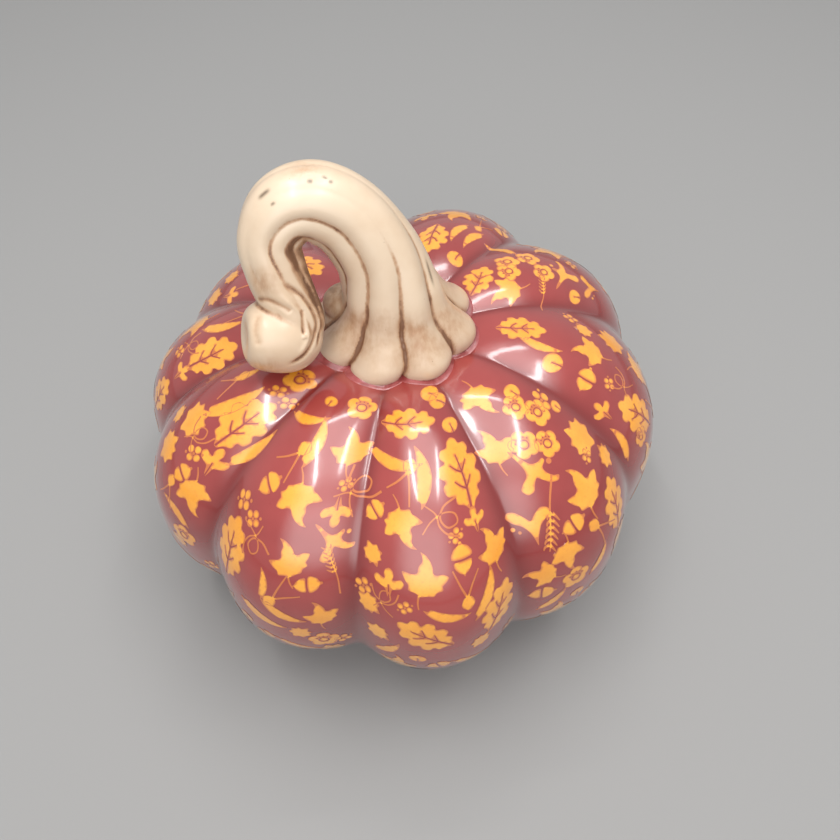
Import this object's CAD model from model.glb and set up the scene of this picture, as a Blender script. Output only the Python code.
import math

import bpy
import bmesh
import numpy as np
from mathutils import Matrix, Vector, geometry, kdtree


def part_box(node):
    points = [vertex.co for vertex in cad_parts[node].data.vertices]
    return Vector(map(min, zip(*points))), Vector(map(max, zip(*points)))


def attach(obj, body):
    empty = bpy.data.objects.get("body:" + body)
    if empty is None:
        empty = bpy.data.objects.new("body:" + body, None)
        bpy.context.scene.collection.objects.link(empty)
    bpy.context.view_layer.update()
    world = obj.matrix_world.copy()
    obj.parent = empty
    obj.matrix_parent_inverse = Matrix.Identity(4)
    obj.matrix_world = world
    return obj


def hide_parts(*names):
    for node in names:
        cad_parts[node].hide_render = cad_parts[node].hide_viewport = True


# A glazed ceramic pumpkin figure: a lobed burgundy body with printed leaves, acorns and blossoms,
# an ivory stem that curls over into a blunt hook, a bead of glaze round the stem and felt pads.
# Lengths are in millimetres up to the point where a mesh is made, and in metres after that.

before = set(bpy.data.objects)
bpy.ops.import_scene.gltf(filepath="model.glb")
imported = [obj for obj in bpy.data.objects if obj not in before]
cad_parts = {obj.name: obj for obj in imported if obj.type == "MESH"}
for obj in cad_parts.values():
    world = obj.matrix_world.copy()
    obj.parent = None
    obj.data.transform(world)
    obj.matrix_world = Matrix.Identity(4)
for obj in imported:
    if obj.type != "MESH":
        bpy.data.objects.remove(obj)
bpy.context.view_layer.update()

MM = 0.001

# ---- the lobed form

BODY_RADIUS = 116.0
EQUATOR = 68.0
RISE = 72.0
DROP = 68.0
DIMPLE_DEPTH = 17.0
DIMPLE_RADIUS = 43.0
CREASE_SHARE = 0.935
CROWN_RADIUS = 12.0
FOOT_RADIUS = 48.0
FOOT_LAND = 18.0
FOOT_RECESS = 2.5
FLOOR = 5.0
WALL = 5.0
DRAIN_RADIUS = 8.0
VENT_RADIUS = 6.0
PAD = 2.0
CREASE_ANGLES = [224, 259, 294, 330, 371, 410, 447, 484, 521, 551]
LOBE_FULLNESS = [1.3, 1.37, 0.9, 0.75, 1.15, 1.25, 1.3, 0.7, 0.85, 1.1]
LOBE_NAMES = "ABCDEFGHIJ"
CREASE_SOFTNESS = 0.12
SWELL_POWER = 0.9
RISE_POWER = 0.8
CREASE_DROP = 0.8
FADE_SPAN = 0.5


def soft_step(value, low, high):
    """Rises smoothly from 0 at low to 1 at high."""
    share = np.clip((value - low) / (high - low), 0, 1)
    return share * share * (3 - 2 * share)


def unit(vectors):
    """Rows of vectors, or one vector, brought to length 1."""
    return np.asarray(vectors, float) / np.linalg.norm(vectors, axis=-1, keepdims=True)


def lobe_ends(number):
    start = CREASE_ANGLES[number]
    end = (CREASE_ANGLES + [CREASE_ANGLES[0] + 360])[number + 1]
    return start, end


def lobe_swell(angle):
    """0 in a crease and about 1 on the back of a lobe, for an array of angles in degrees."""
    first = CREASE_ANGLES[0]
    turned = first + (angle - first) % 360
    swell = np.zeros_like(turned)
    for number, fullness in enumerate(LOBE_FULLNESS):
        start, end = lobe_ends(number)
        inside = (turned >= start) & (turned <= end)
        arch = np.sin(np.pi * (turned - start) / (end - start))
        soft = np.hypot(arch, CREASE_SOFTNESS) - CREASE_SOFTNESS
        full = math.hypot(1, CREASE_SOFTNESS) - CREASE_SOFTNESS
        swell = np.where(inside, fullness * (np.maximum(soft, 0) / full) ** SWELL_POWER, swell)
    return swell


def slope_range(inset):
    radius = BODY_RADIUS - inset
    return math.asin(CROWN_RADIUS / radius), math.pi - math.asin((FOOT_RADIUS - inset) / radius)


def form_point(angle, slope, inset=0.0):
    """Points of the lobed surface, in mm, for arrays of angles in degrees and slopes in radians."""
    angle = np.asarray(angle, float)
    slope = np.asarray(slope, float)
    radius = BODY_RADIUS - inset
    above = slope < math.pi / 2
    reach = np.where(above, RISE - inset, DROP - inset)
    cosine = np.cos(slope)
    rise = np.copysign(np.abs(cosine) ** RISE_POWER, cosine)
    out = radius * np.sin(slope)
    height = EQUATOR + reach * rise
    height = height - np.where(above, DIMPLE_DEPTH * np.exp(-(out / DIMPLE_RADIUS) ** 2), 0)
    start, end = slope_range(inset)
    fade = soft_step(np.minimum(slope - start, end - slope), 0, FADE_SPAN)
    depth = (1 - CREASE_SHARE) * fade * (lobe_swell(angle) - 1)
    out = out * (1 + depth)
    height = height + CREASE_DROP * depth * reach * rise
    turn = np.radians(angle)
    uneven = hand_waver(turn, slope)
    return np.stack([(out + uneven) * np.cos(turn), (out + uneven) * np.sin(turn), height], -1)


def hand_waver(turn, slope):
    """The slight unevenness of a casting fettled by hand, in mm."""
    wave = np.sin(3 * turn + 1.3) * np.sin(2.1 * slope + 0.4) + 0.6 * np.sin(7 * turn + 4 * slope)
    return 0.22 * np.sin(slope) * wave


def form_normal(angle, slope):
    step = 1e-3
    east = form_point(angle + math.degrees(step), slope) - form_point(angle - math.degrees(step), slope)
    south = form_point(angle, slope + step) - form_point(angle, slope - step)
    return unit(np.cross(south, east))


# ---- mesh helpers

def add_object(name, data):
    made = bpy.data.objects.new(name, data)
    bpy.context.collection.objects.link(made)
    return made


def new_object(name, points, faces):
    """A smooth mesh object from points in mm."""
    mesh = bpy.data.meshes.new(name)
    mesh.from_pydata((np.asarray(points) * MM).tolist(), [], faces)
    mesh.update()
    shade_smooth(mesh)
    return add_object(name, mesh)


def shade_smooth(mesh):
    mesh.polygons.foreach_set("use_smooth", [True] * len(mesh.polygons))


def full_turn(count):
    """Angles in radians that go round once in even steps."""
    return np.arange(count) * 2 * np.pi / count


def flat_ring(radius, height, turn):
    """A level ring of points in mm, for angles in radians. The radius may change round the ring."""
    return np.stack([radius * np.cos(turn), radius * np.sin(turn), np.full_like(turn, height)], -1)


def grid_faces(rows, columns, looped=False):
    """Quads between closed rings of points, and from the last ring back to the first when looped."""
    faces = []
    for row in range(rows if looped else rows - 1):
        a, b = row * columns, (row + 1) % rows * columns
        for column in range(columns):
            beside = (column + 1) % columns
            faces.append((a + column, b + column, b + beside, a + beside))
    return faces


def set_attribute(made, name, values):
    """A float value on each vertex, for the material to read."""
    layer = made.data.attributes.new(name, "FLOAT", "POINT")
    layer.data.foreach_set("value", np.asarray(values, float))


def finish_piece(made, node, material):
    made.data.materials.append(material)
    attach(made, "root")
    if node:
        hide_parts(node)


# ---- shader helpers

GLAZE_IOR = 1.5


class Nodes:
    """Short ways to build the node tree of a new material, or of the light that is given."""

    def __init__(self, name, light=None):
        self.material = light or bpy.data.materials.new(name)
        self.material.use_nodes = True
        self.tree = self.material.node_tree
        self.shader = self.tree.nodes["Emission" if light else "Principled BSDF"]

    def feed(self, socket, value):
        """Gives a socket a number, a size or a colour, or joins another node's output to it."""
        if isinstance(value, (int, float)):
            socket.default_value = value
        elif isinstance(value, tuple):
            socket.default_value = value if len(socket.default_value) == 3 else (*value, 1.0)
        else:
            self.tree.links.new(value, socket)

    def add(self, kind, sockets=None, **settings):
        node = self.tree.nodes.new(kind)
        for key, value in settings.items():
            setattr(node, key, value)
        for key, value in (sockets or {}).items():
            self.feed(node.inputs[key], value)
        return node

    def set(self, **values):
        """Feeds the sockets of the material's own shader."""
        for key, value in values.items():
            self.feed(self.shader.inputs[key.replace("_", " ")], value)

    def place(self, stretch):
        """Object coordinates, drawn out along an axis where its number is below 1."""
        coords = self.add("ShaderNodeTexCoord").outputs["Object"]
        return self.add("ShaderNodeMapping", {"Vector": coords, "Scale": stretch}).outputs["Vector"]

    def noise(self, scale, detail=3.0, rough=0.5, warp=0.0, stretch=(1.0, 1.0, 1.0)):
        sockets = {"Vector": self.place(stretch), "Scale": scale, "Detail": detail, "Roughness": rough}
        return self.add("ShaderNodeTexNoise", {**sockets, "Distortion": warp}).outputs["Fac"]

    def ramp(self, value, low, high, start=0.0, end=1.0):
        sockets = {"Value": value, "From Min": low, "From Max": high, "To Min": start, "To Max": end}
        return self.add("ShaderNodeMapRange", sockets, interpolation_type="SMOOTHSTEP").outputs["Result"]

    def math(self, kind, a, b):
        return self.add("ShaderNodeMath", {0: a, 1: b}, operation=kind).outputs["Value"]

    def mix(self, factor, a, b):
        return self.add("ShaderNodeMix", {0: factor, 6: a, 7: b}, data_type="RGBA").outputs[2]

    def tint(self, texture, low, high, a, b, most=1.0):
        """Goes from a to b, or only most of the way, as the texture rises from low to high."""
        return self.mix(self.ramp(texture, low, high, 0.0, most), a, b)

    def attribute(self, name):
        return self.add("ShaderNodeAttribute", attribute_name=name).outputs["Fac"]

    def bump(self, height, distance, strength=1.0, normal=None):
        sockets = {"Height": height, "Distance": distance, "Strength": strength}
        if normal is not None:
            sockets["Normal"] = normal
        return self.add("ShaderNodeBump", sockets).outputs["Normal"]


def glaze(n, color, coat, roughness, coat_roughness=0.08):
    """The gloss over a coloured glaze, with slow swells, ripples and faint orange peel."""
    swell = n.noise(38.0, 1.0, 0.4)
    ripple = n.noise(120.0, 2.0, 0.5)
    peel = n.noise(420.0, 2.0, 0.45)
    slow = n.bump(swell, 0.0006, 0.6)
    mid = n.bump(ripple, 0.0001, 0.6, slow)
    n.set(Base_Color=color, Normal=n.bump(peel, 0.00004, 0.5, mid), Coat_Normal=mid, IOR=GLAZE_IOR)
    n.set(Coat_Weight=coat, Coat_Roughness=coat_roughness, Coat_IOR=GLAZE_IOR, Roughness=roughness)
    return n.material


def burgundy_glaze():
    n = Nodes("burgundy_glaze")
    clouds = n.noise(16.0, 4.0, 0.6)
    fine = n.noise(260.0, 3.0, 0.6)
    color = n.tint(clouds, 0.3, 0.7, (0.23, 0.029, 0.027), (0.31, 0.048, 0.043))
    color = n.tint(n.attribute("pooling"), 0.0, 1.0, color, (0.15, 0.014, 0.013))
    color = n.tint(fine, 0.66, 0.8, color, (0.16, 0.013, 0.013), 0.3)
    bare = n.attribute("bare")
    biscuit = n.tint(n.noise(120.0, 5.0, 0.7), 0.3, 0.7, (0.62, 0.5, 0.4), (0.74, 0.64, 0.53))
    color = n.mix(bare, color, biscuit)
    return glaze(n, color, 1.0, 0.22)


def print_ink():
    n = Nodes("print_ink")
    clouds = n.noise(60.0, 4.0, 0.6)
    grain = n.noise(900.0, 2.0, 0.6)
    color = n.tint(clouds, 0.3, 0.7, (0.74, 0.29, 0.026), (0.82, 0.36, 0.042))
    color = n.tint(grain, 0.5, 0.8, color, (0.64, 0.2, 0.03), 0.35)
    color = n.tint(n.attribute("ink"), 0.0, 0.75, (0.50, 0.14, 0.04), color)
    return glaze(n, color, 1.0, 0.25)


def ivory_glaze():
    n = Nodes("ivory_glaze")
    clouds = n.noise(30.0, 4.0, 0.6)
    streaks = n.noise(420.0, 4.0, 0.65, stretch=(1.0, 1.0, 0.25))
    color = n.tint(clouds, 0.3, 0.7, (0.58, 0.425, 0.287), (0.65, 0.515, 0.376))
    wash = n.attribute("wash")
    patches = n.noise(70.0, 3.0, 0.6)
    tan = n.math("MULTIPLY", wash, n.ramp(streaks, 0.25, 0.75, 0.7, 1.3))
    tan = n.math("MULTIPLY", tan, n.ramp(patches, 0.3, 0.7, 0.5, 1.35))
    color = n.tint(tan, 0.05, 0.7, color, (0.43, 0.252, 0.142))
    color = n.tint(tan, 0.55, 1.25, color, (0.19, 0.09, 0.046))
    speck = n.noise(520.0, 2.0, 0.5)
    color = n.tint(speck, 0.74, 0.8, color, (0.25, 0.14, 0.08), 0.6)
    color = n.mix(n.attribute("flaw"), color, (0.16, 0.11, 0.07))
    return glaze(n, color, 0.45, 0.42, 0.2)


def bond_glaze():
    n = Nodes("bond_glaze")
    mottled = n.noise(220.0, 4.0, 0.6)
    color = n.tint(mottled, 0.35, 0.65, (0.22, 0.03, 0.03), (0.34, 0.08, 0.08))
    return glaze(n, color, 0.5, 0.35, 0.15)


def felt():
    n = Nodes("felt")
    fibres = n.noise(2600.0, 5.0, 0.7, 1.5)
    clumps = n.noise(500.0, 3.0, 0.6)
    color = n.tint(fibres, 0.3, 0.7, (0.13, 0.11, 0.09), (0.30, 0.27, 0.23))
    color = n.tint(clumps, 0.3, 0.7, color, (0.2, 0.17, 0.14), 0.4)
    n.set(Base_Color=color, Roughness=0.95, Sheen_Weight=0.5, Sheen_Roughness=0.5)
    n.set(Normal=n.bump(fibres, 0.0002, 0.8))
    return n.material


# ---- the body

PER_LOBE = 44
BODY_ROWS = 132
CAVITY_ROWS = 26


def make_body(material):
    """The shell: outside, foot ring, recess, drain hole and the hollow inside."""
    lobes = [lobe_ends(number) for number in range(len(CREASE_ANGLES))]
    angles = np.concatenate([np.linspace(start, end, PER_LOBE, endpoint=False) for start, end in lobes])
    turn = np.radians(angles)
    start, end = slope_range(0.0)
    rows, pooling, bare = [], [], []

    def add_row(row, pool, biscuit):
        rows.append(row)
        pooling.append(pool + np.zeros(len(angles)))
        bare.append(np.full(len(angles), biscuit, float))

    crease = 1 - lobe_swell(angles) / np.repeat(LOBE_FULLNESS, PER_LOBE)
    for slope in np.linspace(start, end, BODY_ROWS):
        foot_shade = np.clip((slope - 1.9) / 0.5, 0, 1)
        add_row(form_point(angles, slope), np.clip(crease, 0, 1) ** 3 * 0.75 + 0.25 * foot_shade, 0)
    base = FOOT_RADIUS
    inner = base - FOOT_LAND
    floor_top = PAD + FOOT_RECESS + FLOOR
    foot_bottom = form_point(angles, end)[:, 2].mean()
    profile = [
        (base + 0.2, foot_bottom - 0.6, 0.0), (base, PAD + 1.2, 0.3), (base - 0.4, PAD + 0.35, 0.8),
        (base - 1.2, PAD, 1.0), (inner + 0.8, PAD, 1.0), (inner, PAD + 0.5, 1.0),
        (inner - 0.3, PAD + FOOT_RECESS - 0.5, 1.0), (inner - 1.0, PAD + FOOT_RECESS, 1.0),
        (DRAIN_RADIUS + 0.8, PAD + FOOT_RECESS, 1.0), (DRAIN_RADIUS, PAD + FOOT_RECESS + 0.7, 1.0),
        (DRAIN_RADIUS, floor_top - 0.7, 1.0), (DRAIN_RADIUS + 0.8, floor_top, 1.0), (30.0, floor_top, 1.0),
    ]
    for radius, height, biscuit in profile:
        add_row(flat_ring(radius, height, turn), 0, biscuit)
    start, end = slope_range(WALL)
    for slope in np.linspace(end, start, CAVITY_ROWS):
        add_row(form_point(angles, slope, WALL), 0, 1)
    crown = rows[0][:, 2].mean()
    for height in (crown - WALL, crown):
        add_row(flat_ring(VENT_RADIUS, height, turn), 0, 1)
    body = new_object("pumpkin_body", np.concatenate(rows), grid_faces(len(rows), len(angles), looped=True))
    set_attribute(body, "pooling", np.concatenate(pooling))
    set_attribute(body, "bare", np.concatenate(bare))
    finish_piece(body, "pumpkin_shell", material)


# ---- the stem

# middle x, y, z, radius, depth of the grooves between the flutes and their twist, from the crown to the hook
STEM_LINE = [
    (-2.6, 0.2, 119, 30.5, 0.16, 0),
    (-2.5, 0.0, 125, 31.8, 0.16, 0),
    (-2.0, 0.2, 129, 33.9, 0.155, 0),
    (-0.6, -1.2, 133.5, 31.8, 0.15, 0),
    (-0.4, -2.8, 139.5, 26.4, 0.14, 0),
    (-1.6, -3.6, 146.0, 22.0, 0.14, 1),
    (-3.2, -3.4, 153.5, 19.4, 0.135, 9),
    (-8, -0.6, 168.5, 16.5, 0.13, 27),
    (-17.9, 2.0, 182.8, 15.1, 0.125, 39),
    (-29.5, 2, 189.8, 14.7, 0.125, 45),
    (-39.9, -1, 188.5, 13.6, 0.13, 56),
    (-45.7, -6, 180, 12.1, 0.13, 66),
    (-44.6, -11, 170, 11.6, 0.12, 57),
    (-41.2, -16, 160, 11.0, 0.10, 46),
    (-39.0, -19.5, 151.5, 11.0, 0.05, 40),
    (-40.5, -21.0, 146, 10.0, 0.0, 40),
]
FLUTES = 8
FLUTE_START = 5.5
FLUTE_ROUND = 0.8
GROOVE_WIDTH = 0.12
WASH_WIDTH = 0.17
BACK_FADE = 0.72
HOLE_MIDDLE = np.array([-24.0, -6.0, 162.0])
STEM_AROUND = 192
STEM_ALONG = 360
STEM_VOXEL = 0.6
LINE_REACH = 8.0
HOLLOW_ROUNDS = 14
HOLLOW_DEPTH = 0.35
FLANK_MIDDLE = np.array([-21.0, 3.5, 138.8])
FLANK_REACH = np.array([10.0, 8.5, 8.0])
KNOB_MIDDLE = np.array([-43.5, -22.0, 147.0])
KNOB_AXIS = (-0.93, -0.25, 0.27)
# place along the axis and radius, from the round side under the hook to the shallow dish in its blunt end
KNOB_PROFILE = [
    (-14.4, 0.3), (-14.1, 2.9), (-13.2, 5.8), (-11.6, 8.6), (-9.0, 11.3), (-5.5, 13.3), (-2.0, 14.2),
    (1.5, 14.4), (5.0, 14.1), (8.2, 13.5), (11.0, 12.6), (13.2, 11.2), (14.6, 9.6), (15.3, 7.9),
    (15.4, 6.2), (15.1, 4.4), (14.8, 2.4), (14.7, 0.3),
]


def cubic_through(values, count):
    """Catmull-Rom samples through rows of values, even in the row number."""
    values = np.asarray(values, float)
    padded = np.vstack([2 * values[0] - values[1], values, 2 * values[-1] - values[-2]])
    position = np.linspace(0, len(values) - 1.000001, count)
    at = position.astype(int)
    t = (position - at)[:, None]
    a, b, c, d = (padded[at + i] for i in range(4))
    return b + 0.5 * t * (c - a + t * (2 * a - 5 * b + 4 * c - d + t * (3 * (b - c) + d - a)))


def stem_rings():
    """Rings of points along the stem, and how brown each is. The row counts the sections of STEM_LINE."""
    line = cubic_through(STEM_LINE, STEM_ALONG)
    row = np.linspace(0, len(STEM_LINE) - 1, STEM_ALONG)
    twist = line[:, 5]
    centre = line[:, :3]
    level = soft_step(row, 4.0, 7.0)[:, None]
    along = unit(unit(np.gradient(centre, axis=0)) * level + np.array([0, 0, 1]) * (1 - level))
    side = np.array([1.0, 0, 0])
    turn = full_turn(STEM_AROUND)
    flute = np.abs(np.sin(FLUTES * turn / 2))
    rings, groove = [], []
    for i in range(STEM_ALONG):
        side = unit(side - along[i] * side.dot(along[i]))
        other = np.cross(along[i], side)
        radius, depth = line[i, 3], line[i, 4]
        at = turn + math.radians(FLUTE_START + twist[i])
        around = np.cos(at)[:, None] * side + np.sin(at)[:, None] * other
        inward = HOLE_MIDDLE - centre[i]
        facing = around @ unit(inward - along[i] * inward.dot(along[i]))
        least = -0.45 - 0.35 * soft_step(row[i], 9.5, 11.0)
        faded = soft_step(row[i], 5.5, 8.0) * (1 - soft_step(facing, least, least + 0.8))
        kept = 1 - BACK_FADE * faded
        dip = 1 - flute ** FLUTE_ROUND + 0.25 * np.exp(-(flute / GROOVE_WIDTH) ** 2)
        swell = 1 - kept * depth * dip
        rings.append(centre[i] + around * (radius * swell)[:, None])
        brown = 1 - 0.55 * soft_step(row[i], 5.5, 8.5) * (1 - soft_step(row[i], 10.2, 11.5))
        brown = brown * (1 - 0.9 * faded) * np.clip(depth / 0.08, 0, 1.3)
        groove.append(brown * np.exp(-(flute / WASH_WIDTH) ** 2))
    return np.array(rings), np.array(groove)


def closed_tube(rings):
    """Points and faces of a tube of rings with a flat cap at each end."""
    rows, columns = len(rings), len(rings[0])
    points = np.concatenate(list(rings) + [[np.mean(rings[0], 0)], [np.mean(rings[-1], 0)]])
    faces = grid_faces(rows, columns)
    first, tip = rows * columns, rows * columns + 1
    for column in range(columns):
        beside = (column + 1) % columns
        faces.append((first, column, beside))
        faces.append((tip, (rows - 1) * columns + beside, (rows - 1) * columns + column))
    return points, faces


def knob_rings(count=96):
    """The round knob at the end of the hook, turned about its own axis."""
    profile = cubic_through(KNOB_PROFILE, 6 * len(KNOB_PROFILE))
    out = unit(KNOB_AXIS)
    side = unit(np.cross(out, (0, 0, 1)))
    other = np.cross(side, out)
    turn = full_turn(count)
    circle = np.cos(turn)[:, None] * side + np.sin(turn)[:, None] * other
    return [KNOB_MIDDLE + out * along + circle * max(radius, 0.2) for along, radius in profile]


def flank_rings(count=48):
    """The swelling of the foot that closes the bottom of the loop."""
    circle = flat_ring(1.0, 0.0, full_turn(count))
    tilts = np.linspace(0.03, np.pi - 0.03, count // 2)
    levels = [math.sin(tilt) * circle - [0, 0, math.cos(tilt)] for tilt in tilts]
    return [FLANK_MIDDLE + FLANK_REACH * level for level in levels]


def make_stem(material):
    rings, groove = stem_rings()
    points, faces = [], []
    for part in (rings, knob_rings(), flank_rings()):
        more, sides = closed_tube(part)
        first = len(points)
        points += list(more)
        faces += [tuple(first + i for i in face) for face in sides]
    stem = new_object("stem_ivory", points, faces)
    flip_outward(stem)
    remesh = stem.modifiers.new("skin", "REMESH")
    remesh.mode = "VOXEL"
    remesh.voxel_size = STEM_VOXEL * MM
    ease = stem.modifiers.new("ease", "SMOOTH")
    ease.factor = 0.5
    ease.iterations = 5
    apply_modifiers(stem)
    paint_stem(stem, rings, groove)
    shade_smooth(stem.data)
    finish_piece(stem, "stem", material)


def apply_modifiers(made):
    """Swaps the mesh for its modified one."""
    depsgraph = bpy.context.evaluated_depsgraph_get()
    depsgraph.update()
    mesh = bpy.data.meshes.new_from_object(made.evaluated_get(depsgraph))
    made.modifiers.clear()
    old = made.data
    made.data = mesh
    bpy.data.meshes.remove(old)


def mesh_arrays(made):
    """The points, in mm, and the normals of a mesh."""
    points, normals = np.empty((2, len(made.data.vertices) * 3))
    made.data.vertices.foreach_get("co", points)
    made.data.vertices.foreach_get("normal", normals)
    return points.reshape(-1, 3) / MM, normals.reshape(-1, 3)


# lines cut or raised on the stem by hand: depth in mm (below 0 is raised), width in mm, how brown, and the
# points near the skin that the line passes
STEM_LINES = [
    (0.9, 1.0, 1.0, [(-41, -21, 173), (-33, -22, 164), (-30, -25, 155), (-34, -33, 149), (-42, -36, 146)]),
    (0.7, 0.9, 1.1, [(-35, -16, 171), (-31, -17, 163), (-29, -22, 154), (-32, -30, 147)]),
    (-0.5, 0.9, 0.0, [(-42, -24, 170), (-35, -26, 160), (-34, -29, 154), (-38, -34, 149)]),
    (0.55, 0.7, 0.7, [(-35, -25, 163), (-35, -27, 159), (-35, -30, 155)]),
    (-0.6, 0.9, 0.0, [(-35, -30, 155), (-35, -31, 154)]),
    (0.5, 1.1, 0.6, [(-52, -21, 165), (-47, -24, 167), (-41, -26, 165), (-39, -26, 163)]),
    (0.35, 1.5, 0.28, [(-51, -25, 162), (-52, -31, 159), (-51, -35, 155)]),
]


# places where the brown wash was left on: middle, reach in mm and strength
WASH_SPOTS = [
    ((5, -23, 149), 7.5, 0.28), ((-18, -16, 148), 6.5, 0.28), ((-6, -22, 155), 6.0, 0.25),
    ((-48, -22, 173), 7.0, 0.45), ((-32, 2, 205), 9.0, 0.28), ((-49, -37, 145), 8.0, 0.40),
    ((18, -12, 147), 6.0, 0.16), ((-30, -14, 150), 9.0, 0.55), ((-55, -24, 150), 7.0, 0.30),
    ((10, 22, 145), 8.0, 0.40), ((-15, 20, 145), 8.0, 0.35), ((-44, -22, 134), 8.0, 0.45),
    ((-24, 2, 143), 8.0, 0.55),
]


def tree_of(points):
    tree = kdtree.KDTree(len(points))
    for i, point in enumerate(points):
        tree.insert(point, i)
    tree.balance()
    return tree


def on_skin(spots, points, normals, skin):
    """Spots moved along the nearest normal onto the surface."""
    spots = np.asarray(spots, float)
    near = [skin.find(spot)[1] for spot in spots]
    height = ((spots - points[near]) * normals[near]).sum(1)
    return spots - normals[near] * height[:, None]


def near_line(points, path):
    """Distance from each point to a path, and how far along the path the nearest spot is."""
    tree = tree_of(path)
    low, high = path.min(0) - LINE_REACH, path.max(0) + LINE_REACH
    distance = np.full(len(points), 2 * LINE_REACH)
    share = np.zeros(len(points))
    close = np.where(((points > low) & (points < high)).all(1))[0]
    for i in close:
        _, at, distance[i] = tree.find(points[i])
        share[i] = at / (len(path) - 1)
    return distance, share


def paint_stem(made, rings, groove):
    """Cuts the hand-drawn lines, then lays brown wash in the grooves, the hollows and round the foot."""
    points, normals = mesh_arrays(made)
    skin = tree_of(points)
    drawn = np.zeros(len(points))
    moved = points.copy()
    for depth, width, brown, line in STEM_LINES:
        path = on_skin(cubic_through(line, 20 * len(line)), points, normals, skin)
        distance, share = near_line(points, path)
        fade = np.clip(np.minimum(share, 1 - share) / 0.12, 0, 1)
        cut = np.exp(-(distance / width) ** 2) * fade
        moved -= normals * (depth * cut)[:, None]
        drawn = np.maximum(drawn, brown * cut)
    made.data.vertices.foreach_set("co", (moved * MM).ravel())
    made.data.update()
    points, normals = mesh_arrays(made)
    tree = tree_of(rings.reshape(-1, 3))
    deep = groove.reshape(-1)
    fluted = np.array([deep[i] if gap < 1.5 else 0.0 for _, i, gap in map(tree.find, points)])
    x, y, z = points.T
    fluted *= 0.8 + 0.35 * np.sin(0.31 * z + 0.23 * x)
    hollow = hollowness(made, points, normals)
    foot = soft_step(162 - z, 0, 16) * (0.35 + 0.65 * soft_step(z, 130, 138)) * (np.hypot(x, y) < 34)
    inward = normals @ unit([0.75, 0.0, -0.3])
    loop_side = soft_step(inward, 0.3, 0.7) * soft_step(-x, 22, 30) * soft_step(z, 148, 158)
    under = soft_step(-normals[:, 2], 0.1, 0.9) * (z > 132)
    spots = np.zeros(len(points))
    for middle, reach, strength in WASH_SPOTS:
        spots = np.maximum(spots, strength * np.exp(-(((points - middle) / reach) ** 2).sum(1)))
    wash = np.maximum(0.55 * fluted, 0.9 * drawn) + spots
    wash += 0.8 * hollow + 0.25 * foot + 0.35 * under + 1.1 * loop_side
    set_attribute(made, "wash", np.clip(wash, 0, 1.4))
    middles = on_skin([flaw[0] for flaw in STEM_FLAWS], points, normals, skin)
    set_attribute(made, "flaw", stem_flaws(points, middles))


def hollowness(made, points, normals):
    """How far each vertex sinks below its neighbourhood, eased over the surface."""
    edges = np.empty(len(made.data.edges) * 2, int)
    made.data.edges.foreach_get("vertices", edges)
    edges = edges.reshape(-1, 2)
    degree = np.bincount(edges.ravel(), minlength=len(points)).astype(float)
    spread = points.copy()
    for _ in range(HOLLOW_ROUNDS):
        total = np.zeros_like(points)
        np.add.at(total, edges[:, 0], spread[edges[:, 1]])
        np.add.at(total, edges[:, 1], spread[edges[:, 0]])
        spread = total / degree[:, None]
    rise = ((spread - points) * normals).sum(1)
    return np.clip(rise / HOLLOW_DEPTH, 0, 1)


# chips, pinholes and a crack that have gone dark: middle, direction, half length and half width in mm
STEM_FLAWS = [
    ((-45, -6, 200), (3, 1, 2), 2.4, 0.8),
    ((-29, -4, 203), (1, 0, 0), 0.9, 0.7),
    ((-24, -2, 203), (2, -1, 0), 1.2, 0.5),
    ((-22, -3, 202), (1, 0, 0), 0.7, 0.6),
    ((-42, -10, 199), (3, 1, 1), 0.8, 0.5),
    ((12, -7, 163), (3, -5, -8), 5.0, 0.55),
]


def stem_flaws(points, middles):
    value = np.zeros(len(points))
    for middle, (_, lean, length, width) in zip(middles, STEM_FLAWS):
        offset = points - middle
        run = offset @ unit(lean)
        across = np.linalg.norm(offset - run[:, None] * unit(lean), axis=1)
        value = np.maximum(value, np.exp(-(run / length) ** 4 - (across / width) ** 2))
    return value


# ---- bond and pads

BEAD_COLUMNS = 320
# reach out from the toes and height over the crown, once round the section
BEAD_PROFILE = [
    (-3.0, -0.9), (-1.8, 1.3), (-1.1, 1.15), (-0.3, 0.75), (0.5, 0.42), (1.3, 0.2), (2.2, 0.03), (2.8, -0.5),
    (0.0, -1.2),
]
BEAD_MIDDLE = (-2.4, 0.4, 0.0)
TOE_RADIUS = 33.9


def make_bead(material):
    """The bead of glaze that hugs the toes of the stem on the crown."""
    turn = full_turn(BEAD_COLUMNS)
    flute = np.abs(np.sin(FLUTES * turn / 2))
    at = turn + math.radians(FLUTE_START)
    toe = TOE_RADIUS * (1 - 0.15 * (1 - flute ** FLUTE_ROUND))
    rows = []
    for out, up in BEAD_PROFILE:
        uneven = 0.35 * np.sin(5 * at + 1) + 0.25 * np.sin(11 * at)
        row = flat_ring(toe + out + (uneven if out > 0 else 0), 0.0, at) + BEAD_MIDDLE
        row[:, 2] = crown_height(row[:, 0], row[:, 1]) + up
        rows.append(row)
    bead = new_object("glaze_bead", np.concatenate(rows), grid_faces(len(rows), BEAD_COLUMNS, looped=True))
    flip_outward(bead)
    finish_piece(bead, "bond_bead", material)


def flip_outward(made):
    work = bmesh.new()
    work.from_mesh(made.data)
    bmesh.ops.recalc_face_normals(work, faces=work.faces)
    work.to_mesh(made.data)
    work.free()


def crown_height(x, y):
    """Height of the shell's top near the stem."""
    radius = np.hypot(x, y)
    angle = np.degrees(np.arctan2(y, x))
    slope = np.arcsin(np.clip(radius / BODY_RADIUS, 0, 0.9))
    for _ in range(4):
        now = np.linalg.norm(form_point(angle, slope)[..., :2], axis=-1)
        slope = slope * radius / now
    return form_point(angle, slope)[..., 2]


PAD_COLUMNS = 72
PAD_FRAY = 0.012
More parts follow.
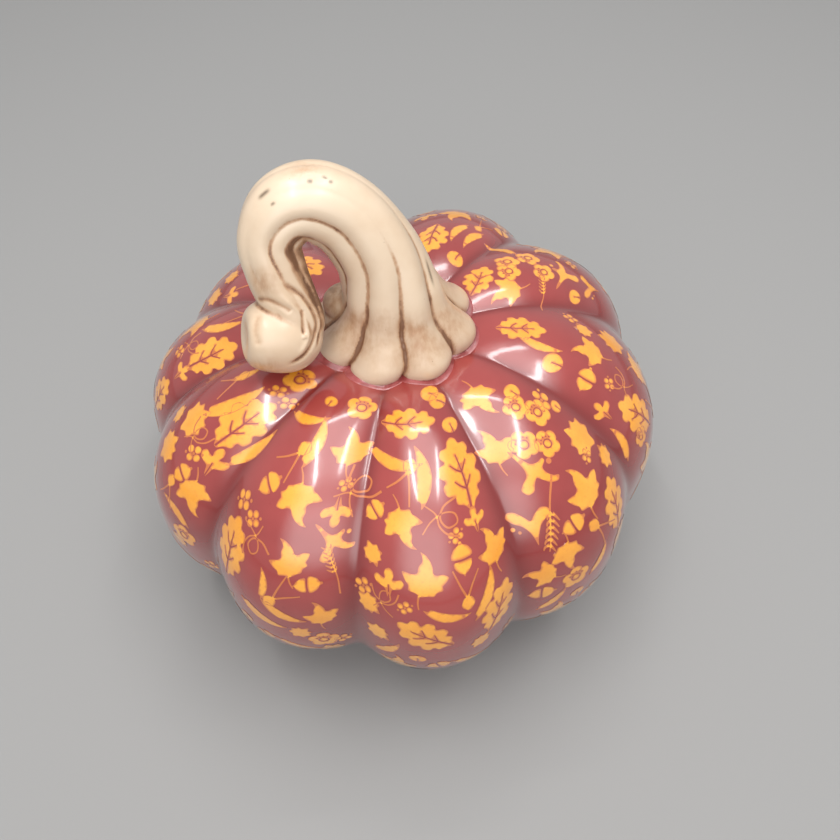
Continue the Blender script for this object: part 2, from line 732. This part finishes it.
# share of the radius and height in mm, from the middle of the underside to the middle of the top
PAD_PROFILE = [
    (0.0, 0.0), (0.5, 0.0), (0.93, 0.02), (0.99, 0.25), (1.0, 0.9), (0.99, 1.7), (0.95, 1.98), (0.5, 2.0),
    (0.0, 2.0),
]


def make_pad(number, material):
    """A felt disc in the place of its CAD node, with a slightly frayed rim."""
    low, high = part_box(f"felt_pad_{number}")
    centre = (np.array(low) + np.array(high)) / 2 / MM
    radius = (high[0] - low[0]) / 2 / MM
    rng = np.random.default_rng(number)
    fray = 1 + PAD_FRAY * rng.standard_normal(PAD_COLUMNS)
    rows = []
    for share, up in PAD_PROFILE:
        reach = radius * max(share, 0.02) * (fray if share > 0.9 else 1.0)
        rows.append(flat_ring(reach, up, full_turn(PAD_COLUMNS)) + (centre[0], centre[1], 0.0))
    faces = grid_faces(len(rows), PAD_COLUMNS)
    faces.append(tuple(range(PAD_COLUMNS)))
    faces.append(tuple((len(rows) - 1) * PAD_COLUMNS + i for i in reversed(range(PAD_COLUMNS))))
    pad = new_object(f"felt_disc_{number}", np.concatenate(rows), faces)
    flip_outward(pad)
    finish_piece(pad, f"felt_pad_{number}", material)


# ---- printed motifs

INK_RISE = 0.09
INK_SINK = 0.07
OUTLINE_STEP = 0.8
FILL_STEP = 1.6
FILL_ROW = FILL_STEP * 0.866
POINT_GAP = 0.08
EDGE_GAP = 0.45
MERIDIAN_POINTS = 45
RING_STEPS = 70


def ease_outline(points, rounds=2, cut=0.2):
    """Cuts the corners of a closed outline."""
    points = np.asarray(points, float)
    for _ in range(rounds):
        after = np.roll(points, -1, 0)
        points = np.stack([points * (1 - cut) + after * cut, points * cut + after * (1 - cut)], 1)
        points = points.reshape(-1, 2)
    return points


def both_halves(half, bend=0.0, rounds=2, cut=0.2):
    """A closed outline from its right half, listed from the tip down."""
    half = np.asarray(half, float)
    other = half[::-1] * (-1, 1)
    keep = [p for p in other if abs(p[0]) > 1e-6]
    points = ease_outline(np.vstack([half, keep]), rounds, cut)
    points[:, 0] += bend * points[:, 1] ** 2
    return points


def ribbon(path, width, taper=0.6):
    """A thin closed band along a path that is eased first."""
    line = cubic_through(path, 6 * len(path))
    side = unit(np.gradient(line, axis=0))[:, ::-1] * (-1, 1)
    half = width / 2 * np.linspace(1, taper, len(line))[:, None]
    return np.vstack([line + side * half, (line - side * half)[::-1]])


def disc(x, y, radius, squash=1.0, count=14):
    turn = full_turn(count)
    return np.stack([x + radius * np.cos(turn), y + radius * squash * np.sin(turn)], -1)


def petals(number, radius, swell, count=50):
    turn = full_turn(count)
    reach = radius + swell * np.abs(np.cos(number * turn / 2)) ** 0.7
    return np.stack([reach * np.sin(turn), reach * np.cos(turn)], -1)


MAPLE = [
    (-.25, .50), (-.10, .46), (.02, .36), (.10, .25), (.14, .13), (.22, .11), (.35, .17), (.50, .14),
    (.47, .02), (.41, -.08), (.46, -.18), (.34, -.25), (.31, -.36), (.18, -.39), (.04, -.47), (-.08, -.42),
    (-.25, -.43), (-.27, -.31), (-.37, -.24), (-.50, -.08), (-.39, -.05), (-.26, -.04), (-.17, .03),
    (-.19, .17), (-.14, .31), (-.17, .40),
]
OAK_HALF = [
    (0, .5), (.08, .45), (.10, .37), (.21, .36), (.25, .26), (.18, .18), (.31, .14), (.34, .02),
    (.24, -.05), (.32, -.13), (.29, -.25), (.18, -.26), (.20, -.37), (.09, -.41), (.03, -.5), (0, -.5),
]
TREFOIL_HALF = [
    (0, .5), (.12, .42), (.16, .28), (.11, .14), (.22, .16), (.38, .23), (.48, .10), (.40, -.06),
    (.22, -.12), (.10, -.16), (.06, -.34), (0, -.5),
]
LEAF_HALF = [
    (0, .5), (.09, .36), (.14, .27), (.31, .30), (.29, .13), (.46, .06), (.34, -.10), (.36, -.30),
    (.16, -.31), (.04, -.5), (0, -.5),
]
LILY = [
    (-.5, .42), (-.36, .36), (-.22, .24), (-.08, .16), (.06, .2), (.16, .30), (.22, .24), (.14, .1),
    (.22, 0), (.36, -.06), (.5, -.04), (.48, -.16), (.3, -.2), (.12, -.14), (.02, -.1), (-.02, -.24),
    (-.02, -.4), (-.14, -.5), (-.28, -.42), (-.24, -.26), (-.16, -.1), (-.2, .04), (-.32, .2), (-.46, .34),
]
BELL = [
    (-.5, .3), (-.42, .42), (-.26, .4), (-.1, .24), (0, .1), (.12, .24), (.3, .36), (.46, .3), (.5, .14),
    (.36, .1), (.2, 0), (.12, -.14), (.04, -.3), (0, -.5), (-.04, -.28), (-.1, -.1), (-.22, .06),
    (-.38, .14),
]
CRESCENT = [
    (-.02, .53), (.09, .37), (.16, .16), (.17, -.06), (.11, -.26), (.02, -.41), (-.11, -.55), (-.08, -.42),
    (-.15, -.38), (-.11, -.22), (-.07, -.02), (-.04, .18), (-.01, .36),
]


def disc_round(degrees, reach, radius, count=14):
    """Discs round the middle, at angles in degrees clockwise from the top."""
    return [disc(reach * math.sin(t), reach * math.cos(t), radius, 1, count) for t in np.radians(degrees)]


def motif_shapes():
    """For each kind of motif: inked outlines, gaps cut in them, and ink laid over the gaps."""
    veins = [ribbon([(0, -.49), (.02, -.1), (0, .24)], .034, .4)]
    for height in (-.22, .0):
        for side in (-1, 1):
            path = [(.01, height), (side * .06, height + .05), (side * .13, height + .13)]
            veins.append(ribbon(path, .026, .5))
    barbs = [ribbon([(0, -.5), (.05, -.1), (0, .5)], .03)]
    for step in range(6):
        height = -.02 + step * .085
        for side in (-1, 1):
            path = [(.02, height), (side * .05 + .02, height + .04), (side * .08, height + .09)]
            barbs.append(ribbon(path, .05, .3))
    inked = {
        "maple": [ease_outline(MAPLE, 2, .17), ribbon([(0, -.45), (.03, -.62), (.10, -.78)], .05)],
        "oak": [both_halves(OAK_HALF, .05)],
        "trefoil": [both_halves(TREFOIL_HALF, .06)],
        "leaf": [both_halves(LEAF_HALF, .10)],
        "acorn": [
            both_halves([(0, .52), (.05, .5), (.06, .42), (.22, .34), (.33, .16), (.32, .03), (0, 0)], 0, 1),
            both_halves([(0, -.05), (.29, -.04), (.27, -.22), (.14, -.38), (.04, -.43), (0, -.52)], 0, 1),
        ],
        "flower": [petals(5, .38, .12)],
        "blossom": (disc_round([15, 105, 195, 285], .25, .17) + disc_round([60, 240], .43, .07, 8)
                    + [disc(0, 0, .07, 1, 8)]),
        "crescent": [ease_outline(CRESCENT, 2)],
        "bud": [
            both_halves([(0, .52), (.17, .36), (.11, .18), (0, .13)], 0, 1),
            ribbon([(.01, .2), (-.14, -.1), (-.32, -.36)], .055),
            ribbon([(0, .2), (.12, -.1), (.25, -.5)], .055),
        ],
        "tendril": [
            ribbon([(-.42, .40), (-.30, .10), (-.05, -.02), (.16, .12), (.10, .34), (-.10, .30), (-.16, .06),
                    (-.02, -.22), (.24, -.44)], .05),
            ribbon([(.40, .36), (.30, .10), (.10, -.06), (-.16, -.10), (-.36, -.30)], .05),
        ],
        "sprig": barbs,
        "lily": [ease_outline(LILY, 2), disc(.30, .22, .06, 1, 10)],
        "bell": [ease_outline(BELL, 2), disc(-.42, .02, .055, 1, 9), disc(-.3, -.08, .04, 1, 8)],
        "dot": [disc(0, 0, .5, .84, 18)],
    }
    gaps = {
        "oak": veins,
        "trefoil": [ribbon([(0, -.52), (.01, -.3), (0, -.02)], .05)],
        "flower": [disc(0, 0, .17)] + disc_round([-58, -29, 0, 29, 58], .25, .028, 7),
        "dot": [ribbon([(0, -.45), (.02, -.2), (0, .05)], .06)],
    }
    over = {"flower": [disc(0, 0, .135)]}
    return {kind: (inked[kind], gaps.get(kind, []), over.get(kind, [])) for kind in inked}


# kind, place across the lobe from -1 at the lower crease to 1, slope in degrees, turn in degrees clockwise
# from the crown, size in mm
CROWN_A = [
    ("flower", .55, 24, 0, 15), ("dot", -.25, 25, 0, 6), ("maple", .65, 34, 0, 21),
    ("crescent", -.45, 31, 62, 21), ("crescent", 0, 34.5, -10, 24), ("bud", -.2, 40, 20, 22),
    ("acorn", -.36, 48, 35, 15), ("maple", .17, 49, 170, 22), ("blossom", -.62, 56, 0, 13),
    ("blossom", -.35, 57.5, 0, 11), ("tendril", -.25, 62, 150, 18), ("trefoil", .68, 49.5, 180, 16),
    ("blossom", .72, 43, 0, 9), ("tendril", .9, 45, 30, 22), ("lily", .72, 57.5, 0, 22),
    ("maple", .25, 63, -10, 20), ("oak", -.55, 70, 0, 32), ("crescent", 0, 73, -10, 16),
    ("acorn", .5, 70, 80, 14), ("sprig", .75, 66, -20, 26), ("bud", .2, 75, 220, 22),
    ("crescent", .25, 82, 110, 22), ("maple", .65, 81, 0, 18), ("crescent", 0, 86, 110, 24),
    ("flower", .65, 92, 0, 16),
]
CROWN_B = [
    ("oak", -.25, 27, 90, 25), ("dot", .55, 20, -45, 9), ("dot", .68, 22.5, -45, 9),
    ("dot", .7, 29.5, 0, 8), ("crescent", -.55, 36, 95, 25), ("crescent", -.1, 39, -5, 26),
    ("oak", .55, 40.5, 0, 32), ("bud", -.35, 40, 20, 22), ("acorn", -.8, 48.5, 45, 13),
    ("maple", -.4, 51, 170, 20), ("tendril", .1, 49.5, 90, 20), ("blossom", .25, 53.5, 0, 9),
    ("trefoil", .55, 52, 0, 13), ("leaf", -.78, 59.5, 150, 12), ("maple", -.17, 62.5, 20, 22),
    ("acorn", .28, 59.5, 0, 16), ("maple", .7, 60, 0, 20), ("bud", .28, 68, 180, 22),
    ("trefoil", -.58, 66, 0, 16), ("blossom", -.88, 70, 0, 11), ("leaf", -.8, 75, 120, 14),
    ("tendril", -.62, 72, 0, 16), ("blossom", -.4, 72, 0, 9), ("crescent", .05, 74.5, 100, 20),
    ("crescent", .5, 72, 20, 24), ("oak", -.2, 82, -60, 28), ("oak", .65, 80, 25, 28),
    ("leaf", -.7, 85, 120, 14),
]
CROWN_C = [
    ("maple", -.35, 27, 190, 20), ("dot", .35, 30, 0, 8), ("flower", .1, 33, 0, 14),
    ("flower", .35, 37.5, 0, 15), ("flower", -.28, 41, 0, 15), ("flower", .05, 44, 0, 14),
    ("maple", -.72, 38.5, 10, 20), ("blossom", .65, 37, 0, 14), ("dot", .75, 41, 0, 6),
    ("leaf", .6, 50, -30, 22), ("blossom", .45, 54, 0, 9), ("leaf", .75, 60, 0, 14),
    ("lily", -.38, 48, 28, 26), ("maple", .1, 58.5, 10, 24), ("sprig", -.43, 60, 205, 36),
    ("bell", -.72, 61, 0, 22), ("acorn", -.25, 65.5, 80, 15), ("bud", .1, 73, -40, 22),
    ("maple", -.42, 74.5, 190, 19), ("maple", -.76, 78, -60, 18), ("flower", -.35, 84, 0, 16),
    ("acorn", -.75, 86, 90, 15), ("crescent", 0, 83, 30, 18), ("oak", .45, 72, 10, 28),
    ("maple", .5, 86, 160, 20),
]
CROWN_D = [
    ("oak", .2, 26, 180, 24), ("crescent", -.2, 31, 180, 20), ("dot", -.5, 35, 0, 10),
    ("maple", 0, 43, 0, 20), ("leaf", .45, 53, 0, 20), ("acorn", -.5, 44.5, 90, 16),
    ("blossom", -.35, 51, 0, 9), ("tendril", -.2, 55.5, 0, 16), ("trefoil", -.75, 53.5, 0, 14),
    ("oak", -.4, 65, -20, 30), ("flower", -.55, 71, 0, 12), ("crescent", -.85, 65, 0, 20),
    ("blossom", .7, 41, 0, 10), ("leaf", .45, 43, 0, 12), ("maple", .3, 65, 150, 22),
    ("bud", .0, 74, 180, 22), ("acorn", .65, 72, 30, 14), ("maple", -.5, 82, 20, 22),
    ("crescent", .3, 80, 60, 22), ("flower", .65, 84, 0, 16),
]
CROWN_E = [
    ("oak", .25, 21.5, 150, 22), ("maple", -.55, 25, 0, 20), ("flower", .3, 31, 0, 14),
    ("flower", 0, 28.5, 0, 14), ("flower", -.25, 37.5, 0, 14), ("flower", .2, 37, 0, 14),
    ("crescent", .8, 37, 90, 20), ("lily", -.3, 44, 0, 24), ("sprig", -.7, 35, 100, 24),
    ("bell", -.5, 54, 0, 18), ("maple", .35, 48, 20, 22), ("leaf", .75, 52, 0, 16),
    ("sprig", .1, 58, 30, 30), ("blossom", -.05, 51, 0, 10), ("dot", -.75, 46, 0, 8),
]
CROWN_F = [
    ("oak", .25, 28, 0, 26), ("dot", -.65, 24, 0, 9), ("crescent", -.25, 33, 0, 20),
    ("crescent", -.6, 34, 0, 20), ("bud", -.5, 43, 0, 18), ("trefoil", .6, 43, 0, 16),
    ("maple", .05, 43, 20, 22), ("acorn", -.75, 51, 40, 14), ("leaf", .65, 51, 160, 14),
    ("blossom", -.3, 50, 0, 10),
]
CROWN_J = [
    ("flower", .55, 25.5, 0, 16), ("blossom", .5, 31, 0, 10), ("blossom", .85, 32, 0, 10),
    ("crescent", -.35, 34.5, 0, 16), ("bud", -.35, 38.5, 0, 20), ("crescent", .1, 40, 10, 30),
    ("oak", .55, 42, 10, 32), ("crescent", .97, 46, 15, 26), ("leaf", -.15, 51, 20, 22),
    ("leaf", -.55, 57, 0, 12), ("tendril", .15, 53, 0, 18), ("blossom", .28, 56.5, 0, 12),
    ("trefoil", .6, 55, 0, 18), ("acorn", .3, 63.5, 30, 14), ("leaf", -.2, 63, 15, 20),
    ("maple", .6, 68, 170, 22), ("bud", .2, 72, 0, 20), ("crescent", .4, 77, -70, 20),
    ("flower", .55, 85, 0, 16), ("maple", -.3, 78, 30, 20),
]
CROWN_I = [
    ("oak", .6, 45, 0, 30), ("crescent", -.05, 41, 0, 24), ("trefoil", .6, 56.5, 0, 14),
    ("tendril", .2, 51.5, 0, 16), ("blossom", .15, 56, 0, 10), ("oak", .55, 70, 0, 24),
    ("bud", -.3, 36.5, 0, 20), ("maple", -.4, 54, 170, 22), ("maple", -.1, 66, 20, 20),
    ("acorn", -.6, 66, 60, 14), ("crescent", .1, 77, 100, 20), ("flower", .5, 85, 0, 15),
    ("maple", -.45, 78, 0, 20), ("dot", .3, 32, 0, 9),
]
CROWN_H = [
    ("oak", -.3, 30, 0, 26), ("flower", .4, 31, 0, 14), ("crescent", .1, 37, 20, 22),
    ("bud", .55, 41, 0, 20), ("maple", -.35, 44, 170, 22), ("leaf", .35, 52, 0, 14),
    ("trefoil", .8, 48, 0, 14), ("leaf", .7, 57, 0, 16), ("tendril", -.1, 54, 30, 18),
    ("oak", -.45, 62, 0, 28), ("maple", .2, 64, 10, 22), ("acorn", .65, 68, 60, 15),
    ("bud", .0, 74, 180, 22), ("crescent", -.5, 77, 90, 22), ("flower", .5, 80, 0, 15),
    ("maple", -.1, 86, 150, 20),
]
LOWER_ROWS = [
    ("crescent", -.6, 90, 35, 19), ("dot", -.28, 91, 0, 7), ("leaf", .42, 89, 40, 13),
    ("blossom", .85, 93, 0, 11), ("maple", -.5, 97, 20, 20), ("acorn", -.05, 95, 70, 14),
    ("crescent", .35, 97, 110, 22), ("leaf", .7, 101, 160, 16), ("crescent", -.75, 106, 30, 18),
    ("trefoil", -.2, 105, 190, 16), ("maple", .25, 108, 60, 20), ("blossom", .7, 111, 0, 11),
    ("flower", -.5, 115, 0, 15), ("acorn", .05, 118, 20, 13), ("leaf", .5, 121, 200, 15),
]

# how large each kind is drawn, as a share of the size in the lists, and .8 for the kinds not named
SIZE_SHARE = {"oak": .88, "crescent": .9, "tendril": .85, "sprig": .85, "dot": 1.0, "lily": .74, "maple": .78}


def lobe_prints():
    """The motifs of each lobe. Lobes at the back carry the rows of those at the front again."""
    lower_c = [m for m in CROWN_C if m[2] > 62]
    lower_a = [m for m in CROWN_A if m[2] > 50]
    rows = {"A": CROWN_A, "B": CROWN_B, "C": CROWN_C, "D": CROWN_D, "E": CROWN_E + lower_c,
            "F": CROWN_F + lower_a, "G": CROWN_B, "H": CROWN_H, "I": CROWN_I, "J": CROWN_J}
    return {name: motifs + LOWER_ROWS for name, motifs in rows.items()}


def inside(points, outlines):
    """Which points lie inside at least one closed outline."""
    x, y = points[:, 0], points[:, 1]
    found = np.zeros(len(points), bool)
    for outline in outlines:
        hit = np.zeros(len(points), bool)
        for (ax, ay), (bx, by) in zip(outline, np.roll(outline, -1, 0)):
            if ay != by:
                crossed = (ay > y) != (by > y)
                hit ^= crossed & (x < ax + (y - ay) * (bx - ax) / (by - ay))
        found |= hit
    return found


def even_outline(outline, step):
    """The outline with no edge longer than the step, and with no two points nearly in one place."""
    points = []
    for a, b in zip(outline, np.roll(outline, -1, 0)):
        parts = max(1, math.ceil(np.linalg.norm(b - a) / step))
        points += [a + (b - a) * i / parts for i in range(parts)]
    kept = [points[0]]
    for point in points[1:]:
        if np.linalg.norm(point - kept[-1]) > POINT_GAP:
            kept.append(point)
    return np.array(kept)


def flat_motif(shape, size):
    """The points of one motif in flat mm, and its triangles."""
    inked, gaps, over = ([outline * size for outline in group] for group in shape)
    outlines = [even_outline(outline, OUTLINE_STEP) for outline in inked + gaps + over]
    points, edges = [], []
    for outline in outlines:
        first = len(points)
        points += [Vector(p) for p in outline]
        edges += [(first + i, first + (i + 1) % len(outline)) for i in range(len(outline))]
    around = np.vstack(outlines)
    low, high = around.min(0), around.max(0)
    grid = np.array([
        (x, y) for row, y in enumerate(np.arange(low[1], high[1], FILL_ROW))
        for x in np.arange(low[0] + row % 2 * FILL_STEP / 2, high[0], FILL_STEP)
    ])

    def is_ink(spots):
        return inside(spots, inked) & ~inside(spots, gaps) | inside(spots, over)

    grid = grid[is_ink(grid)]
    if len(grid):
        near = np.sqrt(((grid[:, None] - around[None]) ** 2).sum(-1)).min(1)
        points += [Vector(p) for p in grid[near > EDGE_GAP]]
    made, _, faces, _, _, _ = geometry.delaunay_2d_cdt(points, edges, [], 0, 1e-4)
    flat = np.array([tuple(p) for p in made])
    faces = np.array([f for f in faces if len(f) == 3])
    centres = flat[faces].mean(1)
    ab = flat[faces[:, 1]] - flat[faces[:, 0]]
    ac = flat[faces[:, 2]] - flat[faces[:, 0]]
    area = (ab[:, 0] * ac[:, 1] - ab[:, 1] * ac[:, 0]) / 2
    keep = is_ink(centres) & (np.abs(area) > 1e-5)
    faces, area = faces[keep], area[keep]
    faces[area < 0] = faces[area < 0][:, ::-1]
    used, faces = np.unique(faces, return_inverse=True)
    return flat[used], faces.reshape(-1, 3)


def wrap_motif(flat, lobe, across, slope, turn, size):
    """Lays flat points on the lobe by true length, up the meridian and then round the ring.

    Gives the points just above the surface, those just below it and the normals."""
    start, end = lobe_ends(lobe)
    angle = start + (across + 1) / 2 * (end - start)
    slope, turn = math.radians(slope), math.radians(turn)
    u = flat[:, 0] * math.cos(turn) + flat[:, 1] * math.sin(turn)
    v = flat[:, 1] * math.cos(turn) - flat[:, 0] * math.sin(turn)
    reach = size * 0.85
    slopes = slope + np.linspace(-reach / 55, reach / 55, MERIDIAN_POINTS)
    slopes = slopes[(slopes > 0.11) & (slopes < 2.7)]
    line = form_point(np.full(len(slopes), angle), slopes)
    length = np.concatenate([[0], np.cumsum(np.linalg.norm(np.diff(line, axis=0), axis=1))])
    length = np.interp(slope, slopes, length) - length
    at_slope = np.interp(v, length[::-1], slopes[::-1])
    ring_radius = BODY_RADIUS * math.sin(max(0.15, slopes.min())) * 0.8
    spread = min(70, math.degrees(reach / ring_radius))
    angles = angle + np.linspace(-spread, spread, 2 * RING_STEPS + 1)
    both = form_point(*np.meshgrid(angles, slopes))
    steps = np.linalg.norm(np.diff(both, axis=1), axis=-1)
    ring = np.concatenate([np.zeros((len(slopes), 1)), np.cumsum(steps, 1)], 1)
    ring -= ring[:, [RING_STEPS]]
    place = np.interp(at_slope, slopes, np.arange(len(slopes)))
    low = np.minimum(place.astype(int), len(slopes) - 2)
    share = place - low
    at_angle = np.empty(len(flat))
    for i in np.unique(low):
        chosen = low == i
        one = np.interp(u[chosen], ring[i], angles)
        two = np.interp(u[chosen], ring[i + 1], angles)
        at_angle[chosen] = one + (two - one) * share[chosen]
    spots = form_point(at_angle, at_slope)
    out = form_normal(at_angle, at_slope)
    return spots + out * INK_RISE, spots - out * INK_SINK, out


def film(triangles, count, first):
    """Faces of a closed film, whose points below follow the count above, and the points on its rim."""
    above = (triangles + first).tolist()
    below = [[i + count for i in reversed(face)] for face in above]
    sides = {}
    for face in above:
        for a, b in zip(face, face[1:] + face[:1]):
            if (b, a) in sides:
                del sides[b, a]
            else:
                sides[a, b] = True
    walls = [(a, a + count, b + count, b) for a, b in sides]
    return above + below + walls, list({i - first for pair in sides for i in pair})


def make_prints(material):
    shapes = motif_shapes()
    flats = {}
    for lobe, name in enumerate(LOBE_NAMES):
        points, faces, ink, normals = [], [], [], []
        for kind, across, slope, turn, size in lobe_prints()[name]:
            size *= SIZE_SHARE.get(kind, .8)
            if (kind, size) not in flats:
                flats[kind, size] = flat_motif(shapes[kind], size)
            flat, triangles = flats[kind, size]
            top, bottom, out = wrap_motif(flat, lobe, across, slope, turn, size)
            made, rim = film(triangles, len(top), len(points))
            points += list(top) + list(bottom)
            normals += list(out) + list(-out)
            faces += made
            inner = np.ones(len(top))
            inner[rim] = 0
            ink += list(inner) * 2
        print_piece = new_object(f"prints_{name}", points, faces)
        print_piece.data.normals_split_custom_set_from_vertices([tuple(n) for n in normals])
        set_attribute(print_piece, "ink", ink)
        finish_piece(print_piece, None, material)


# ---- stage

CROWN = (0, 0, 0.13)
FLOOR_SIDE = 12
STRIP_WIDTH = 0.1


def make_floor():
    n = Nodes("floor")
    n.set(Base_Color=(0.27, 0.267, 0.262), Roughness=0.8)
    bpy.ops.mesh.primitive_plane_add(size=FLOOR_SIDE)
    floor = bpy.context.object
    floor.name = "floor"
    floor.data.materials.append(n.material)


def soft_light(name, size, power, edges):
    """A rectangular light that fades towards its edges, each edge over a share of its side."""
    data = bpy.data.lights.new(name, "AREA")
    data.shape = "RECTANGLE"
    data.size, data.size_y = size
    data.energy = power
    n = Nodes(name, data)
    across = n.add("ShaderNodeNewGeometry").outputs["Parametric"]
    split = n.add("ShaderNodeSeparateXYZ", {0: across})
    level = 1.0
    for axis, edge in enumerate(edges):
        place = split.outputs[axis]
        level = n.math("MULTIPLY", n.ramp(place, 0.0, edge), level)
        level = n.math("MULTIPLY", n.ramp(place, 1.0 - edge, 1.0, 1.0, 0.0), level)
    n.set(Strength=level)
    return add_object(name, data)


def area_light(name, place, size, power):
    """A wide light that faces the crown."""
    made = soft_light(name, size, power, (0.35, 0.35))
    made.location = place
    made.rotation_euler = (Vector(CROWN) - Vector(place)).to_track_quat("-Z", "Y").to_euler()


def strip_light(name, start, end, power):
    """A long narrow light from one point to another, facing the crown."""
    start, end = Vector(start), Vector(end)
    run = (end - start).normalized()
    middle = (start + end) / 2
    facing = Vector(CROWN) - middle
    facing = (facing - run * facing.dot(run)).normalized()
    made = soft_light(name, ((end - start).length, STRIP_WIDTH), power, (0.2, 0.35))
    across = (-facing).cross(run)
    turned = Matrix((run, across, -facing)).transposed().to_4x4()
    made.matrix_world = Matrix.Translation(middle) @ turned


def make_lights():
    """A soft light overhead, three strips that draw the highlights, a wide fill in front and a grey sky."""
    area_light("overhead", (0.06, 0.0, 1.3), (1.8, 1.8), 28)
    strip_light("left_strip", (-0.34, 0.26, 1.2), (-0.16, -0.52, 1.2), 5.2)
    strip_light("right_strip", (0.50, 0.38, 1.2), (0.33, -0.46, 1.2), 4.4)
    strip_light("back_strip", (-0.30, 0.50, 1.2), (0.42, 0.58, 1.2), 3.2)
    area_light("front_fill", (-0.1, -1.3, 1.05), (2.4, 2.0), 36)
    world = bpy.data.worlds.new("world")
    bpy.context.scene.world = world
    world.use_nodes = True
    sky = world.node_tree.nodes["Background"].inputs
    sky["Color"].default_value = (0.86, 0.86, 0.87, 1)
    sky["Strength"].default_value = 0.58


SENSOR_WIDTH = 36.0
LENS_SHARE = 0.9836
CAMERA_SHIFT = (0.0214, -0.0069)
CAMERA_PLACE = (0.0, -0.23986, 0.37501)
CAMERA_TILT = 38.0
CAMERA_ROLL = -1.655


def make_camera():
    """The photograph's viewpoint. The lens is given as a share of the picture's width."""
    data = bpy.data.cameras.new("camera")
    data.sensor_width = SENSOR_WIDTH
    data.lens = SENSOR_WIDTH * LENS_SHARE
    data.shift_x, data.shift_y = CAMERA_SHIFT
    data.clip_start = 0.01
    made = add_object("camera", data)
    tilt = Matrix.Rotation(math.radians(CAMERA_TILT), 4, "X")
    roll = Matrix.Rotation(math.radians(CAMERA_ROLL), 4, "Z")
    made.matrix_world = Matrix.Translation(CAMERA_PLACE) @ tilt @ roll
    bpy.context.scene.camera = made


make_camera()
make_lights()
make_floor()
make_body(burgundy_glaze())
make_stem(ivory_glaze())
make_bead(bond_glaze())
make_prints(print_ink())
felt_material = felt()
for pad_number in (1, 2, 3, 4):
    make_pad(pad_number, felt_material)

view = bpy.context.scene.view_settings
view.view_transform = "Standard"
